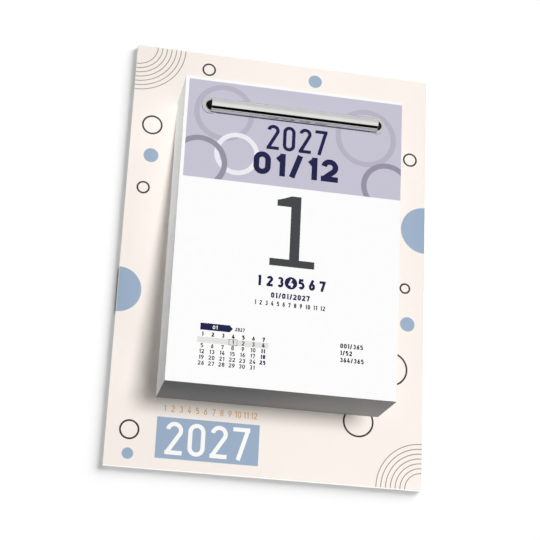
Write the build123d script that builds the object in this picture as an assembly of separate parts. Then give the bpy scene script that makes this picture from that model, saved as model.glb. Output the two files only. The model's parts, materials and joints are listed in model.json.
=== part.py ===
from build123d import *
import os

# A tear-off day calendar: a block of day leaves held on a printed card by a half-round metal bar.
# It lies on its back. +Z points out of the printed face, +Y to the card's upper edge and +X right.
# The origin is the middle of the card's back. All sizes are in millimetres.

# Card
card_width = 148.0
card_height = 210.0
board_thickness = 2.2
print_thickness = 0.2

# Block of leaves, one leaf for each day, the last month lowest
leaf_width = 105.0
leaf_height = 148.0
leaf_thickness = 0.088
card_foot = 33.0  # card below the block
month_days = {
    "january": 31,
    "february": 28,
    "march": 31,
    "april": 30,
    "may": 31,
    "june": 30,
    "july": 31,
    "august": 31,
    "september": 30,
    "october": 31,
    "november": 30,
    "december": 31,
}

# Punched holes and the washers round them
hole_spacing = 80.0
hole_diameter = 6.0
hole_inset = 14.0  # block's upper edge to the hole centres
washer_outer = 8.6
washer_inner = 4.8
washer_thickness = 0.5
washer_round = 0.15

# Tear line of the leaves, and the flat margin of the first leaf below it
tear_clearance = 0.6  # washer's lower edge to the tear line
leaf_margin = 4.0

# Half-round bar, which ends over the hole centres
bar_width = 7.1
bar_height = 3.4
bar_wall = 0.4
lip_width = 1.0

# Steel strip inside the bar, with two legs and clinched tails
strip_thickness = 0.5
strip_clearance = 0.45  # strip's edge to the bar's inner wall at its foot
leg_width = 3.4
leg_setback = 0.4  # bar's end to the leg's outer face
tail_length = 12.0
tail_depth = 0.05  # tail's face below the card's back
tail_clearance = 0.3

# Levels
print_level = board_thickness
card_level = print_level + print_thickness
block_thickness = sum(month_days.values()) * leaf_thickness
block_level = card_level + block_thickness
bar_level = block_level + washer_thickness
strip_level = bar_level + bar_wall

# Places along Y
card_low = -card_height / 2
card_high = card_height / 2
block_low = card_low + card_foot
block_high = block_low + leaf_height
hole_line = block_high - hole_inset
tear_line = hole_line - washer_outer / 2 - tear_clearance
margin_line = tear_line - leaf_margin

# Places along X
hole_offset = hole_spacing / 2
bar_length = hole_spacing
leg_outside = bar_length / 2 - leg_setback
leg_inside = leg_outside - strip_thickness
strip_width = bar_width - 2 * bar_wall - 2 * strip_clearance


def slab(x_low, x_high, y_low, y_high, z_low, z_high):
    """A plain block between two corners."""
    size = Box(x_high - x_low, y_high - y_low, z_high - z_low, align=(Align.MIN,) * 3)
    return Pos(x_low, y_low, z_low) * size


def sheet_of(width, y_low, y_high, z_low, z_high):
    """A block centred on X, such as a sheet or a stack of leaves."""
    return slab(-width / 2, width / 2, y_low, y_high, z_low, z_high)


def punched(piece, z_low, z_high):
    """The piece with the two round holes that the legs pass through."""
    for side in (-1, 1):
        hole = Cylinder(hole_diameter / 2, z_high - z_low, align=(Align.CENTER, Align.CENTER, Align.MIN))
        piece = piece - Pos(side * hole_offset, hole_line, z_low) * hole
    return piece


def stub(z_low, z_high):
    """The part of a leaf stack above the tear line, which the bar holds."""
    return punched(sheet_of(leaf_width, tear_line, block_high, z_low, z_high), z_low, z_high)


def backing_board():
    """White board with the two holes, and a shallow recess in its back for each clinched tail."""
    board = punched(sheet_of(card_width, card_low, card_high, 0, board_thickness), 0, board_thickness)
    recess_high = tail_depth + strip_thickness
    recess_half = leg_width / 2 + tail_clearance
    recess_start = leg_inside - tail_length - tail_clearance
    for side in (-1, 1):
        inner = side * recess_start
        outer = side * hole_offset
        low, high = sorted((inner, outer))
        board = board - slab(low, high, hole_line - recess_half, hole_line + recess_half, 0, recess_high)
    return board


def front_print():
    """Printed paper that covers the board's face."""
    paper = sheet_of(card_width, card_low, card_high, print_level, card_level)
    return punched(paper, print_level, card_level)


def washer(side):
    """Flat ring on the first leaf, round one hole, with its upper edges eased."""
    at_centre = (Align.CENTER, Align.CENTER, Align.MIN)
    ring = Cylinder(washer_outer / 2, washer_thickness, align=at_centre)
    ring = ring - Cylinder(washer_inner / 2, washer_thickness, align=at_centre)
    ring = fillet(ring.faces().sort_by(Axis.Z)[-1].edges(), washer_round)
    return Pos(side * hole_offset, hole_line, block_level) * ring


def bar_arc(inset):
    """Filled outline under an arc across the bar, set in from the bar's outer face."""
    half = bar_width / 2 - inset
    arc = ThreePointArc((-half, 0), (0, bar_height - inset), (half, 0))
    return make_face(Curve() + [arc, Line((half, 0), (-half, 0))])


def binding_bar():
    """Half-round sheet metal shell, open at its ends, with two lips turned in under the strip."""
    section = bar_arc(0) - bar_arc(bar_wall)
    lip_middle = bar_width / 2 - bar_wall / 2 - lip_width / 2
    inside_wall = bar_arc(bar_wall / 2)
    for side in (-1, 1):
        lip = Pos(side * lip_middle, bar_wall / 2) * Rectangle(lip_width + bar_wall, bar_wall)
        section = section + (lip & inside_wall)
    across = Plane((-bar_length / 2, hole_line, bar_level), x_dir=(0, 1, 0), z_dir=(1, 0, 0))
    return extrude(across * section, bar_length)


def prong_strip():
    """Flat strip on the bar's lips, with a leg down each hole and a tail clinched behind the board."""
    strip_low = hole_line - strip_width / 2
    strip_high = hole_line + strip_width / 2
    strip_top = strip_level + strip_thickness
    leg_low = hole_line - leg_width / 2
    leg_high = hole_line + leg_width / 2
    tail_top = tail_depth + strip_thickness
    piece = slab(-leg_outside, leg_outside, strip_low, strip_high, strip_level, strip_top)
    for side in (-1, 1):
        low, high = sorted((side * leg_inside, side * leg_outside))
        piece = piece + slab(low, high, leg_low, leg_high, tail_depth, strip_level)
        low, high = sorted((side * (leg_inside - tail_length), side * leg_inside))
        piece = piece + slab(low, high, leg_low, leg_high, tail_depth, tail_top)
    return piece


def leaf_stacks():
    """A stub and a stack of loose leaves for each month, without the first leaf, which is on its own."""
    pieces = {}
    level = card_level
    for month in reversed(month_days):
        leaves = month_days[month]
        if month == "january":
            leaves = leaves - 1
        high = level + leaves * leaf_thickness
        pieces[month + "_stub"] = stub(level, high)
        pieces[month + "_leaves"] = sheet_of(leaf_width, block_low, tear_line, level, high)
        level = high
    return pieces


def first_leaf():
    """The day's leaf: its stub, the margin below the tear line and the sheet that folds up from it."""
    low = block_level - leaf_thickness
    return {
        "day_leaf_stub": stub(low, block_level),
        "day_leaf_margin": sheet_of(leaf_width, margin_line, tear_line, low, block_level),
        "day_leaf_sheet": sheet_of(leaf_width, block_low, margin_line, low, block_level),
    }


def parts():
    """Every piece by name."""
    pieces = {
        "backing_board": backing_board(),
        "front_print": front_print(),
        "binding_bar": binding_bar(),
        "prong_strip": prong_strip(),
        "left_washer": washer(-1),
        "right_washer": washer(1),
    }
    pieces.update(leaf_stacks())
    pieces.update(first_leaf())
    return pieces


os.makedirs("parts", exist_ok=True)
for name, shape in parts().items():
    export_step(shape, f"parts/{name}.step")
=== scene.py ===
"""A tear-off day calendar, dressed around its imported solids: leaves, print, metal bar and card."""

import json
import math

import bpy
import numpy as np
from bpy.props import FloatProperty, FloatVectorProperty, IntProperty, PointerProperty
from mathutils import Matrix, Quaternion, Vector

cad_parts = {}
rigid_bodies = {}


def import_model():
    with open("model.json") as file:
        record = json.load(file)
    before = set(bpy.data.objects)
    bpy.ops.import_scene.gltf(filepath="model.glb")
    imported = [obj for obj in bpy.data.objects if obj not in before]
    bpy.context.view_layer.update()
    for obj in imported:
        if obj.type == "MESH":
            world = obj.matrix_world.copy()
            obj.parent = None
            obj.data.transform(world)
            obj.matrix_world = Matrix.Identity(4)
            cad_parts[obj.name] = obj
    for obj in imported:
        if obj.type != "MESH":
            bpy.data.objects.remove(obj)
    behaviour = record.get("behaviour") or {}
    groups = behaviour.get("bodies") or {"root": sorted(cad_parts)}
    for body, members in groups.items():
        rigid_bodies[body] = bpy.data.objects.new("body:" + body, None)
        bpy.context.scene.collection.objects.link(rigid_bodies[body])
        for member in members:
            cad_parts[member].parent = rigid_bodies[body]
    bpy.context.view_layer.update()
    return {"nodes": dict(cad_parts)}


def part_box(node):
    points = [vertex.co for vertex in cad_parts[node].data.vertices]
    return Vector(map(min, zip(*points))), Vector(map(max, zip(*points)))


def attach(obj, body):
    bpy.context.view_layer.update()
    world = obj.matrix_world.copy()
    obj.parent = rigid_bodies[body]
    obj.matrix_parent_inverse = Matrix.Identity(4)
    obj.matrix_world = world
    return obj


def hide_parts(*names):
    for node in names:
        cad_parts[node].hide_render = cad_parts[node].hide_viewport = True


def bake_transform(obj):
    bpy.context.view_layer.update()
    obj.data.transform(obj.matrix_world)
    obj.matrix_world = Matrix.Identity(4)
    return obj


bl_info = {
    "name": "Tear-off Day Calendar",
    "version": (1, 0, 0),
    "blender": (4, 5, 0),
    "location": "3D View > Sidebar > Calendar",
    "description": "Dresses a tear-off day calendar with its leaves, print, metal bar and card",
    "category": "Object",
}

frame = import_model()

# All lengths below are in millimetres, and meshes are scaled by MM as they are made
MM = 0.001

MONTHS = (
    "january", "february", "march", "april", "may", "june",
    "july", "august", "september", "october", "november", "december",
)
MONTH_DAYS = (31, 28, 31, 30, 31, 30, 31, 31, 30, 31, 30, 31)
WEEK, WEEKS = 7, 52
FIRST_COLUMN = 3  # the year's first day stands in the fourth column of the month table


def node_box(node):
    """Lowest and highest corner of a CAD node, in millimetres."""
    low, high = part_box(node)
    return np.array(low) / MM, np.array(high) / MM


sheet_low, sheet_high = node_box("day_leaf_sheet")
stub_low, stub_high = node_box("day_leaf_stub")
card_low, card_high = node_box("front_print")
bar_low, bar_high = node_box("binding_bar")
PAGE_LEFT, PAGE_FOOT = sheet_low[:2]
PAGE_RIGHT, MARGIN_LINE = sheet_high[:2]
PAGE_HEAD, PAGE_TOP = stub_high[1:]
TEAR_LINE = stub_low[1]
CARD_TOP = card_high[2]
LEAF_PITCH = stub_high[2] - stub_low[2]

# Punched holes, under the ends of the bar
HOLE_OFFSET = bar_high[0]
HOLE_LINE = (bar_low[1] + bar_high[1]) / 2
HOLE_RADIUS = 3.0
HOLE_PATCH = 6.0  # hole centre to the inner edge of the printed patch round it

# Ink: step of its grids, height of its layers above the paper and of one stroke above the next, depth
INK_STEP = 0.5
ARC_STEP = 12.0  # degrees
GROUND_LIFT, SHAPE_LIFT, OVER_LIFT, FIGURE_LIFT = 0.010, 0.016, 0.021, 0.026
STROKE_LIFT = 0.0005
INK_DEPTH = 0.006
LEAST_AREA = 1e-5  # twice the area of a quad, below which it is dropped
LEAST_SPREAD = 0.5  # keeps the points of a sharp corner from running far out
SAME_POINT = 1e-6  # points closer than this are one

# Steps along curves, rows where a sheet stays flat, cells across a leaf and steps of the bar's edges
HOLE_STEPS, BOW_STEPS, TURN_STEPS, ROUND_STEPS, FLAG_STEPS, DISC_STEPS = 73, 65, 96, 7, 25, 9
FLAT_ROWS, ACROSS, BEVEL_STEPS = 6, 4, 2
UP_AXIS = 2

# How far a leaf stands back: shares of chance and of a wave through the month, and the wave's turn
CHANCE_SHARE, WAVE_SHARE, WAVE_TURN = 0.6, 0.4, 3 * math.pi

# Print on a leaf, from its left edge and its head
BAND_LEFT, BAND_HEAD, BAND_FOOT = 1.6, 1.4, 50.8
PRINT_MIDDLE = 54.3
YEAR_LINE, YEAR_HIGH, YEAR_STROKE = 32.6, 12.6, 1.65
MONTH_LINE, MONTH_HIGH, MONTH_STROKE = 45.6, 11.4, 2.7
DAY_LINE, DAY_HIGH, DAY_STROKE = 89.7, 34.7, 4.7
WEEK_LINE, WEEK_HIGH, WEEK_STROKE, WEEK_PITCH = 99.9, 5.0, 1.2, 4.9
WEEK_DISC, DISC_HIGH, DISC_STROKE = 2.95, 3.9, 0.72
DATE_LINE, DATE_HIGH, DATE_STROKE = 105.2, 2.6, 0.66
ROW_LINE, ROW_HIGH, ROW_STROKE = 109.0, 2.2, 0.44
TAG_LEFT, TAG_RIGHT, TAG_HEAD, TAG_FOOT, TAG_POINT = 14.2, 27.4, 120.2, 123.4, 1.5
TAG_HIGH, TAG_STROKE, TAG_GAP = 1.7, 0.34, 1.0
TABLE_LEFT, TABLE_PITCH, TABLE_HEAD, TABLE_ROW = 15.4, 4.6, 128.9, 2.66
TABLE_HIGH, TABLE_STROKE, TABLE_BOLD = 1.95, 0.38, 0.54
FRAME_SHARE = 0.8  # width of the frame round a day, of the column's
NARROW = {"1": 0.62, "/": 0.8, " ": 0.7}  # widths of narrow figures, of the others'
HEADS_LINE = 126.2
FACTS_LEFT, FACTS_LINE, FACTS_ROW, FACTS_HIGH, FACTS_STROKE = 78.2, 125.6, 3.3, 2.2, 0.52

# Lilac rings on the band: ink, centre from the left edge and the head, radius, width
BAND_RINGS = (
    ("lilac_mid", 19.0, 17.0, 13.0, 2.6),
    ("lilac_mid", 87.5, 21.0, 13.5, 2.6),
    ("lilac_pale", 26.0, 37.0, 9.5, 2.3),
    ("lilac_dark", 8.5, 43.0, 12.0, 2.6),
    ("lilac_dark", 98.0, 45.0, 10.9, 2.6),
)

# Perforation at the tear line
SLIT_LONG, SLIT_WIDE, SLIT_PITCH = 1.3, 0.07, 2.0
TEAR_GAP = 0.04  # bare paper below the line, which keeps the ink of leaf and stub apart in the fold

# Print on the card, from its middle
YEAR_BLOCK = (-51.2, -100.0, -3.6, -80.9)  # left, low, right and high side
BLOCK_YEAR_LINE, BLOCK_YEAR_HIGH, BLOCK_YEAR_STROKE = -98.0, 15.2, 1.95
MONTH_ROW = (-48.0, -6.5)  # first and last number along X
MONTH_ROW_LINE, MONTH_ROW_HIGH, MONTH_ROW_STROKE = -78.3, 3.0, 0.42
OUTLINE_WIDTH, ARC_WIDTH, ARC_PITCH = 0.85, 0.42, 2.3
OUTLINE_RINGS = (  # centre and radius
    (-64.0, 63.0, 4.6), (-66.0, 30.0, 2.8), (-38.0, 96.5, 3.0), (66.0, 61.0, 3.2),
    (64.5, -7.0, 2.3), (58.0, -48.0, 8.0), (43.0, -75.0, 7.0), (-63.5, -88.0, 4.2),
)
BLUE_DISCS = (  # centre and radius
    (-63.5, 47.0, 3.6), (-74.0, -22.0, 11.0), (74.0, 24.0, 12.0), (66.0, -25.0, 3.6),
    (-63.5, -99.0, 2.6), (16.0, 97.5, 3.4),
)
CORNER_ARCS = ((-74.0, 105.0, 10.0, 7), (74.0, -105.0, 8.0, 7))  # centre, first radius and count

# Metal
BAR_BEVEL = 0.05
BAR_PAINTED_SHADE = (0.35, 0.75)  # heights above the bar's foot: painted shade, nearly black, below the first, fading out by the second
NO_PAINTED_SHADE = (-2.0, -1.0)  # painted shade below every piece, so none shows
BAR_CREASE = math.radians(40)
WASHER_BORE = 2.4  # radius
WASHER_CREASE = math.radians(50)

# Stage
FLOOR_HALF, FLOOR_GAP = 3000.0, 0.02
GLOSS_HALF = 1200.0
GLOSS_CARDS = {  # place along Y, foot and head of each card, and its glow at foot and head
    "dark_card": (-500.0, 270.0, 1300.0, 0.004, 0.004),
    "low_card": (-500.0, 36.0, 270.0, 0.03, 1.0),
    "pale_card": (600.0, 0.0, 1700.0, 0.7, 1.0),
}
SHADE_INSET = 0.5
KEY_WAY, KEY_ANGLE = (300.0, 140.0, 1000.0), math.radians(20)
FLOOR_WAY, FLOOR_ANGLE = (650.0, 610.0, 430.0), math.radians(50)
RIM_WAY, RIM_ANGLE = (-600.0, -800.0, 0.0), math.radians(4)
SQUARE_LAMPS = {  # place, target and side of each lamp
    "side": ((-290.0, 70.0, 26.0), (-52.0, 20.0, 18.0), 24.0),
    "foot": ((70.0, -130.0, 50.0), (45.0, -72.0, 22.0), 16.0),
    "back": ((330.0, 330.0, 20.0), (45.0, 60.0, 18.0), 60.0),
    "upper": ((40.0, 230.0, 120.0), (10.0, 95.0, 2.4), 60.0),
    "lower": ((60.0, -230.0, 140.0), (0.0, -92.0, 2.4), 60.0),
}
CAMERA_TARGET, SENSOR, CLIP_NEAR = (-2.4, -4.9, 2.4), 36.0, 10.0


def tint(red, green, blue):
    """Linear colour of an sRGB one: its share of 255, over 12.92 near black, else the 2.4 power curve."""
    share = np.array((red, green, blue)) / 255
    curve = ((share + 0.055) / 1.055) ** 2.4
    return tuple(np.where(share <= 0.04045, share / 12.92, curve).tolist())


def colour(name, description, *shade):
    """A colour setting whose default is an sRGB shade."""
    return FloatVectorProperty(
        name=name, description=description, subtype="COLOR", min=0, max=1, default=tint(*shade)
    )


def length(name, description, millimetres):
    """A length setting whose default is given in millimetres."""
    return FloatProperty(name=name, description=description, unit="LENGTH", default=millimetres * MM)


def bearing(name, description, degrees):
    """An angle setting whose default is given in degrees."""
    default = math.radians(degrees)
    return FloatProperty(name=name, description=description, subtype="ANGLE", default=default)


def amount(name, description, default):
    """A setting that is a plain number."""
    return FloatProperty(name=name, description=description, default=default)


class CardSettings(bpy.types.PropertyGroup):
    """Colours of the backing card and its print."""

    board: colour("Board", "White lined board", 240, 238, 235)
    cream: colour("Cream", "Ground of the printed face", 246, 238, 231)
    blue: colour("Blue", "Discs and year block", 155, 174, 197)
    outline: colour("Outline", "Rings drawn as a line", 62, 58, 54)
    contour: colour("Contour", "Fine arcs in the corners", 146, 137, 130)
    ochre: colour("Ochre", "Row of month numbers", 224, 180, 124)
    white: colour("White", "Year on the blue block, and the paper's cut edges", 250, 249, 247)


class LeafSettings(bpy.types.PropertyGroup):
    """Paper and print of the leaves."""

    year: IntProperty(name="Year", description="Year on the leaves and the card", default=2027)
    paper: colour("Paper", "Uncoated white paper", 252, 252, 252)
    edge: colour("Edges", "Cut edges of the leaves", 184, 184, 184)
    lilac: colour("Lilac", "Band at the head", 197, 194, 210)
    lilac_pale: colour("Pale lilac", "Lightest ring on the band", 237, 235, 242)
    lilac_mid: colour("Mid lilac", "Softest rings on the band", 182, 178, 194)
    # The slits take this ink as painted shade in place of real cuts.
    lilac_dark: colour("Dark lilac", "Darkest rings on the band, and the slits", 149, 146, 162)
    navy: colour("Navy", "Large figures of the head and the week, and the tag", 36, 37, 74)
    day_grey: colour("Day grey", "Large figure of the day", 70, 71, 74)
    text_grey: colour("Text grey", "Small figures", 46, 45, 48)
    table_grey: colour("Table grey", "Ground behind the month table's first row", 228, 227, 226)
    tag_white: colour("Tag white", "Figures on dark ink", 250, 249, 252)
    thickness: length("Thickness", "Thickness of the first leaf", 0.045)
    leaf_bend: length("Leaf bend", "Length over which the first leaf turns up", 9.0)
    stack_bend: length("Stack bend", "Length over which the month stacks turn up", 12.0)
    unevenness: length("Unevenness", "How far one leaf may stand back from its neighbours", 0.01)


class MetalSettings(bpy.types.PropertyGroup):
    """Metal of the bar, strip and washers."""

    bar: colour("Bar", "Polished plate of the bar", 226, 226, 224)
    strip: colour("Strip", "Plain strip steel", 190, 190, 188)
    washer: colour("Washer", "Satin rings", 212, 212, 212)
    bar_wall: length("Wall", "Thickness of the bar's sheet", 0.4)
    lip: length("Lip", "Width of the lips turned in under the bar", 1.0)
    washer_round: length("Washer edge", "Radius of the washers' upper edges", 0.15)


class StageSettings(bpy.types.PropertyGroup):
    """Camera, light and floor."""

    lens: FloatProperty(name="Lens", description="Focal length", subtype="DISTANCE_CAMERA", default=96.6)
    azimuth: bearing("Azimuth", "Camera's turn round the card", -27.22)
    elevation: bearing("Elevation", "Camera's height above the card's plane", 68.56)
    roll: bearing("Roll", "Camera's turn about its own axis", 31.72)
    distance: length("Distance", "Camera's distance from its target", 693.2)
    key: amount("Key", "Share of the key light on all but the card", 0.9)
    side: amount("Side", "Power of the lamp off the left side", 0.72)
    foot: amount("Foot", "Power of the lamp below the lower side", 0.01)
    back: amount("Back", "Power of the lamp off the right and upper sides", 1.1)
    card_key: amount("Card key", "Share of the key light on the card", 0.77)
    upper: amount("Upper fill", "Power of the lamp above the card", 0.065)
    lower: amount("Lower fill", "Power of the lamp below the card", 0.083)
    ambient: amount("Ambient", "Share of the even light", 0.11)
    floor_light: amount("Floor light", "Share of light on the floor alone", 1.7)
    rim: amount("Rim", "Share of light on the card's edges", 1.3)
    floor: colour("Floor", "Plain pale floor", 165, 165, 165)
    floor_bounce: colour("Floor bounce", "Floor as it lights the object", 60, 60, 60)


# Paths and grids

def arc(centre, radii, first, last):
    """Elliptic arc: the centre plus the radii times cosine and sine of an angle from first to last."""
    turn = math.radians(abs(last - first))
    steps = max(turn * max(radii) / INK_STEP, abs(last - first) / ARC_STEP)
    angle = np.radians(np.linspace(first, last, math.ceil(steps) + 1))
    return np.stack((np.cos(angle), np.sin(angle)), axis=1) * radii + centre


def run(*corners):
    """Straight runs through corners, each divided evenly into steps no longer than the ink's."""
    runs = []
    for start, stop in zip(corners, corners[1:]):
        steps = math.ceil(math.dist(start, stop) / INK_STEP) + 1
        runs.append(np.linspace(start, stop, steps))
    return joined(*runs)


def joined(*runs):
    """One path of several runs, without the doubled points where they meet."""
    path = np.concatenate(runs)
    fresh = np.linalg.norm(np.diff(path, axis=0), axis=1) > SAME_POINT
    return path[np.append(True, fresh)]


def ribbon(path, width, closed=False):
    """Flat band along a path. Each point moves both ways along the sum of the unit normals of the runs
    before and after it, over one plus their product, by up to half the width."""
    if closed:
        path = np.concatenate((path[-2:-1], path, path[1:2]))
    step = np.diff(path, axis=0)
    normal = np.stack((-step[:, 1], step[:, 0]), axis=1)
    normal /= np.linalg.norm(normal, axis=1, keepdims=True)
    before = np.concatenate((normal[:1], normal))
    after = np.concatenate((normal, normal[-1:]))
    spread = np.maximum(1 + np.sum(before * after, axis=1, keepdims=True), LEAST_SPREAD)
    mitre = (before + after) / spread
    if closed:
        path, mitre = path[1:-1], mitre[1:-1]
    across = np.linspace(-0.5, 0.5, math.ceil(width / INK_STEP) + 1) * width
    return path[:, None] + mitre[:, None] * across[:, None]


def ring(x, y, radius, width):
    """Flat ring: a band along a circle."""
    return ribbon(arc((x, y), (radius, radius), 0, 360), width, closed=True)


def disc(x, y, radius):
    """Flat disc: a square grid from -1 to 1 drawn in to the circle, each coordinate times the root of
    one less half the square of the other."""
    side = np.linspace(-1, 1, max(DISC_STEPS, math.ceil(2 * radius / INK_STEP) + 1))
    u, v = np.meshgrid(side, side, indexing="ij")
    round_u = u * np.sqrt(1 - v**2 / 2)
    round_v = v * np.sqrt(1 - u**2 / 2)
    return np.stack((round_u, round_v), axis=-1) * radius + (x, y)


def between(lower, upper):
    """Surface between two curves of as many points, straight from one to the other."""
    reach = np.linalg.norm(upper - lower, axis=1).max()
    share = np.linspace(0, 1, math.ceil(reach / INK_STEP) + 1)[None, :, None]
    return lower[:, None] * (1 - share) + upper[:, None] * share


def patch(left, low, right, high):
    """Flat rectangle, in rows across."""
    return between(np.array(((left, low), (right, low))), np.array(((left, high), (right, high))))


def holed_patch(left, low, right, high, centre):
    """Rectangle with a round hole: at each angle, straight from the hole's edge to the nearest side that
    a line from its centre meets."""
    x, y = centre
    corners = np.arctan2((low - y, low - y, high - y, high - y), (left - x, right - x, right - x, left - x))
    angle = np.unique(np.concatenate((np.linspace(-np.pi, np.pi, HOLE_STEPS), corners)))
    way = np.stack((np.cos(angle), np.sin(angle)), axis=1)
    side = np.where(way > 0, (right - x, high - y), (left - x, low - y))
    with np.errstate(divide="ignore"):
        reach = np.min(np.abs(side / way), axis=1)
    outer = way * reach[:, None] + centre
    inner = way * HOLE_RADIUS + centre
    return between(outer, inner)


def on_page(x, y):
    """Frame place of a point given from the page's left edge and its head."""
    return PAGE_LEFT + x, PAGE_HEAD - y


# Figures drawn as strokes

def numeral(figure, w, h, end):
    """Centre lines of a figure in a box w wide and h high, as paths with a mark for closed ones. Round
    parts are arcs of half the width, bowls are ellipses, and the straight run of a 2 or a 6 leaves its
    bowl on the tangent, whose angle is that of the point seen from the centre, turned by the arc cosine
    of radius over distance. Free ends and corners run past the box by half a stroke, the end."""
    r = w / 2
    low = 0.275 * h
    up = h / 2 - low
    if figure == "0":
        top, foot = arc((r, h - r), (r, r), 0, 180), arc((r, r), (r, r), 180, 360)
        return [(joined(top, run((0, h - r), (0, r)), foot, run((w, r), (w, h - r))), True)]
    if figure == "1":
        return [(run((0, h - 0.9 * w), (w, h)), False), (run((w, h + end), (w, -end)), False)]
    if figure == "2":
        turn = math.atan2(r - h, -r) + math.acos(r / math.hypot(r, h - r))
        bowl = arc((r, h - r), (r, r), 172, math.degrees(turn))
        return [(joined(bowl, run(bowl[-1], (0, 0))), False), (run((-end, 0), (w + end, 0)), False)]
    if figure == "3":
        return [
            (arc((r, h - up), (0.94 * r, up), 150, -90), False),
            (arc((r, low), (r, low), 90, -150), False),
        ]
    if figure == "4":
        bar, stem = 0.27 * h, 0.74 * w
        return [
            (run((0.7 * w, h + end), (0, bar)), False),
            (run((-end, bar), (w + end, bar)), False),
            (run((stem, 0.55 * h), (stem, -end)), False),
        ]
    if figure == "5":
        neck, bowl = 0.1 * w, 0.31 * h
        return [
            (run((w, h), (neck - end, h)), False),
            (run((neck, h), (0.04 * w, 0.5 * h)), False),
            (arc((r, bowl), (r, bowl), 132, -150), False),
        ]
    if figure in "69":
        bowl, tip = 0.3 * h, 0.78 * w
        shrink = r / bowl
        x, y = tip - r, (h + end - bowl) * shrink
        turn = math.atan2(y, x) + math.acos(r / math.hypot(x, y))
        foot = (r + r * math.cos(turn), bowl + bowl * math.sin(turn))
        strokes = [(arc((r, bowl), (r, bowl), 0, 360), True), (run((tip, h + end), foot), False)]
        if figure == "9":
            strokes = [((w, h) - path, closed) for path, closed in strokes]
        return strokes
    if figure == "7":
        return [(run((-end, h), (w + end, h)), False), (run((w, h), (0.3 * w, -end)), False)]
    if figure == "8":
        return [
            (arc((r, low), (r, low), 0, 360), True),
            (arc((r, h - up), (0.9 * r, up), 0, 360), True),
        ]
    if figure == "/":
        return [(run((0, -end), (w, h + end)), False)]
    raise ValueError(f"no strokes for {figure!r}")


def figures(text, x, y, high, stroke, wide=0.52, gap=0.16, align=0.5):
    """Ribbons of a row of figures on the line y, with the row's left edge, middle or right edge at x. The
    figures' width and the gap between them are shares of their height."""
    widths = [high * wide * NARROW.get(figure, 1) for figure in text]
    place = x - align * (sum(widths) + gap * high * (len(text) - 1))
    marks = []
    for figure, width in zip(text, widths):
        strokes = [] if figure == " " else numeral(figure, width - stroke, high - stroke, stroke / 2)
        corner = (place + stroke / 2, y + stroke / 2)
        for order, (path, closed) in enumerate(strokes):
            marks.append((order * STROKE_LIFT, ribbon(path + corner, stroke, closed)))
        place += width + gap * high
    return marks


def slab_one(x, y):
    """The large 1 with a foot: a stem, a foot bar and a flag whose upper edge rises to the stem by the sum
    of a part of the share along it and the rest of the share's square. x is its middle and y the line it
    stands on."""
    half_foot, foot_high = 10.5, 3.5
    stem_left, stem_right = -1.35, 3.25
    flag_left, flag_low, flag_end = -7.95, 29.3, 32.3
    straight = 0.75
    share = np.linspace(0, 1, FLAG_STEPS)
    flag_x = flag_left + (stem_left - flag_left) * share
    flag_high = flag_end + (DAY_HIGH - flag_end) * (straight * share + (1 - straight) * share**2)
    lower = np.stack((x + flag_x, np.full_like(share, y + flag_low)), axis=1)
    upper = np.stack((x + flag_x, y + flag_high), axis=1)
    return [
        (0, patch(x + stem_left, y + foot_high, x + stem_right, y + DAY_HIGH)),
        (0, patch(x - half_foot, y, x + half_foot, y + foot_high)),
        (0, between(lower, upper)),
    ]


# Meshes

def new_piece(name, points, quads, uv, materials, index, sharp=None):
    """An object at the origin from points in millimetres and quads, with a UV for each corner. Where an
    angle is given it is smooth, with sharp edges at folds beyond that angle."""
    mesh = bpy.data.meshes.new(name)
    mesh.vertices.add(len(points))
    mesh.vertices.foreach_set("co", (points * MM).astype(np.float32).ravel())
    mesh.loops.add(quads.size)
    mesh.loops.foreach_set("vertex_index", quads.astype(np.int32).ravel())
    mesh.polygons.add(len(quads))
    mesh.polygons.foreach_set("loop_start", np.arange(0, quads.size, 4, dtype=np.int32))
    mesh.polygons.foreach_set("material_index", np.broadcast_to(index, len(quads)).astype(np.int32))
    mesh.polygons.foreach_set("use_smooth", np.full(len(quads), sharp is not None))
    mesh.uv_layers.new(name="UVMap").uv.foreach_set("vector", (uv * MM).astype(np.float32).ravel())
    mesh.update(calc_edges=True)
    mesh.validate()
    if sharp is not None:
        mesh.set_sharp_from_angle(angle=sharp)
    for material in materials:
        mesh.materials.append(material)
    piece = bpy.data.objects.new(name, mesh)
    bpy.context.scene.collection.objects.link(piece)
    return piece


def grid_quads(rows, columns):
    """Corner numbers of the quads of a grid whose points are counted row by row."""
    number = np.arange(rows * columns).reshape(rows, columns)
    quads = np.stack((number[:-1, :-1], number[1:, :-1], number[1:, 1:], number[:-1, 1:]), axis=-1)
    return quads.reshape(-1, 4)


def block_shell(columns, rows, layers):
    """Outside of a block of cells: the corner numbers of its points along X, Y and Z, its quads in
    outward order, and the axis that each quad faces."""
    count = np.array((columns, rows, layers))
    quads, axes = [], []
    for axis in range(3):
        first, second = (axis + 1) % 3, (axis + 2) % 3
        a, b = np.meshgrid(np.arange(count[first]), np.arange(count[second]), indexing="ij")
        quad = np.zeros((a.size, 4, 3), int)
        quad[:, :, first] = a.reshape(-1, 1) + (0, 1, 1, 0)
        quad[:, :, second] = b.reshape(-1, 1) + (0, 0, 1, 1)
        far = quad.copy()
        far[:, :, axis] = count[axis]
        quads += [quad[:, ::-1], far]
        axes.append(np.full(2 * a.size, axis))
    corners, numbers = np.unique(np.concatenate(quads).reshape(-1, 3), axis=0, return_inverse=True)
    return corners, numbers.reshape(-1, 4), np.concatenate(axes)


def flat_uv(points, quads, axes):
    """UV of each corner: X and Y on a level quad, and on an upright one X plus Y and Z, which run on
    round the block's corners."""
    x, y, z = np.moveaxis(points[quads], -1, 0)
    level = (axes == UP_AXIS)[:, None]
    return np.stack((np.where(level, x, x + y), np.where(level, y, z)), axis=-1)


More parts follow.
